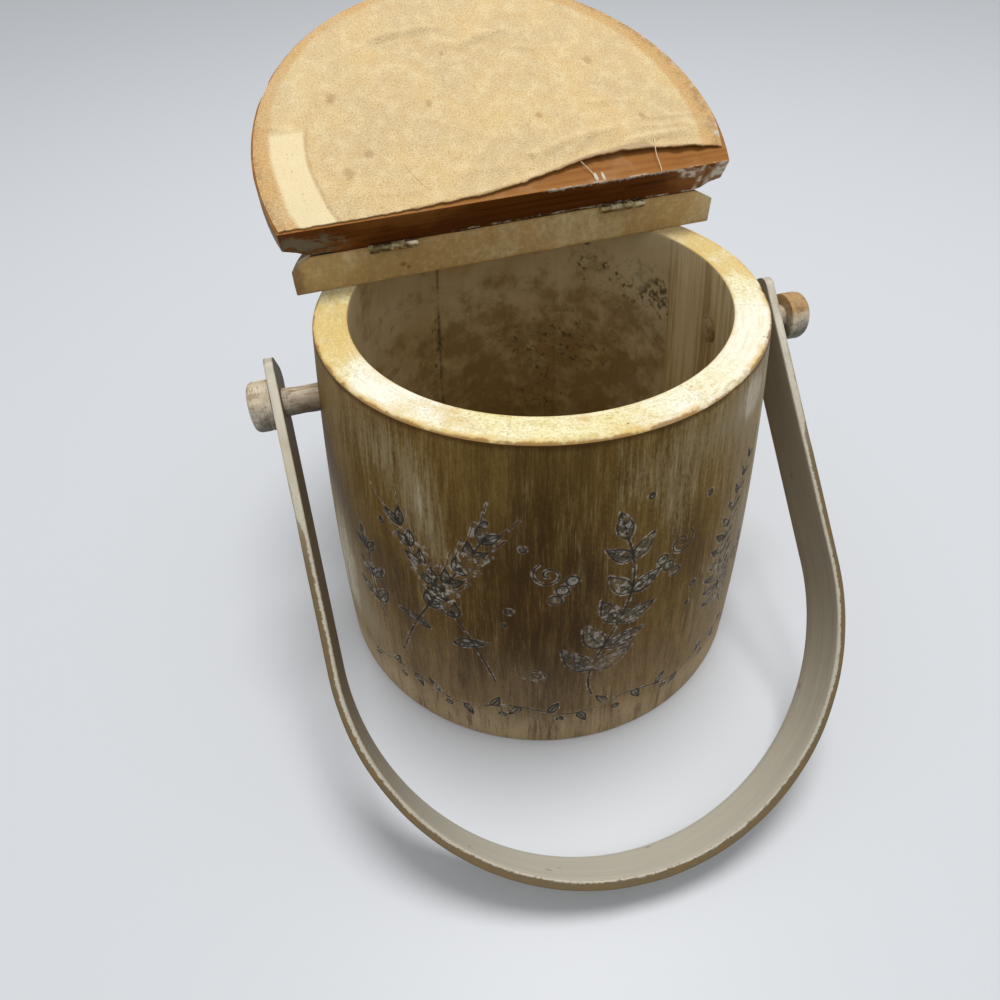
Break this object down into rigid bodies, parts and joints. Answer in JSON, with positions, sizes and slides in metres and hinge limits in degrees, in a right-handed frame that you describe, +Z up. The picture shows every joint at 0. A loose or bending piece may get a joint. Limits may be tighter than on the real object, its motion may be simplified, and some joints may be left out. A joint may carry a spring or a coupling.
{
  "type": "wooden firkin",
  "caption": "Small coopered wooden bucket with a hinged half lid and a bentwood bail handle on turned pegs, standing open.",
  "frame": {"origin": "centre of the foot, on the surface the tub stands on", "axes": "+Z up, +X along the handle pegs to the right, -Y towards the front, where the handle leans, +Y towards the fixed part of the lid"},
  "size_m": [0.234, 0.3068, 0.2438],
  "materials": {
    "tub_paint": "brushed glaze over wood, satin, worn",
    "bottom_wood": "painted, stained, matt",
    "strip_paint": "cream paint over wood, worn",
    "lid_wood": "red-brown stained pine with paint scuffs",
    "lid_cloth": "thin glued felt, mottled with age",
    "peg_wood": "worn whitish paint over turned wood",
    "handle_wood": "worn cream paint over bent wood",
    "brass": "dull, tarnished, paint specks"
  },
  "bodies": {
    "tub": {"stave_right": "tub_paint", "stave_back_right": "tub_paint", "stave_back": "tub_paint", "stave_back_left": "tub_paint", "stave_left": "tub_paint", "stave_front_left": "tub_paint", "stave_front": "tub_paint", "stave_front_right": "tub_paint", "bottom_board": "bottom_wood", "lid_strip": "strip_paint", "peg_left": "peg_wood", "peg_right": "peg_wood", "hinge_leaf_strip_left": "brass", "hinge_leaf_strip_right": "brass", "hinge_pin_left": "brass", "hinge_pin_right": "brass", "hinge_screws_strip": "brass"},
    "lid": {"lid_panel": "lid_wood", "lid_lining": "lid_cloth", "hinge_leaf_lid_left": "brass", "hinge_leaf_lid_right": "brass", "hinge_screws_lid": "brass"},
    "handle": {"handle": "handle_wood"}
  },
  "joints": [
    {"name": "lid_hinge", "type": "hinge", "parent": "tub", "child": "lid", "pos_m": [-0.00204, 0.03073, 0.18065], "axis": [0.9978, 0.0663, 0], "range_deg": [0, 155]},
    {"name": "handle_swing", "type": "hinge", "parent": "tub", "child": "handle", "pos_m": [0, 0, 0.1374], "axis": [-1, 0, 0], "range_deg": [0, 257]}
  ]
}
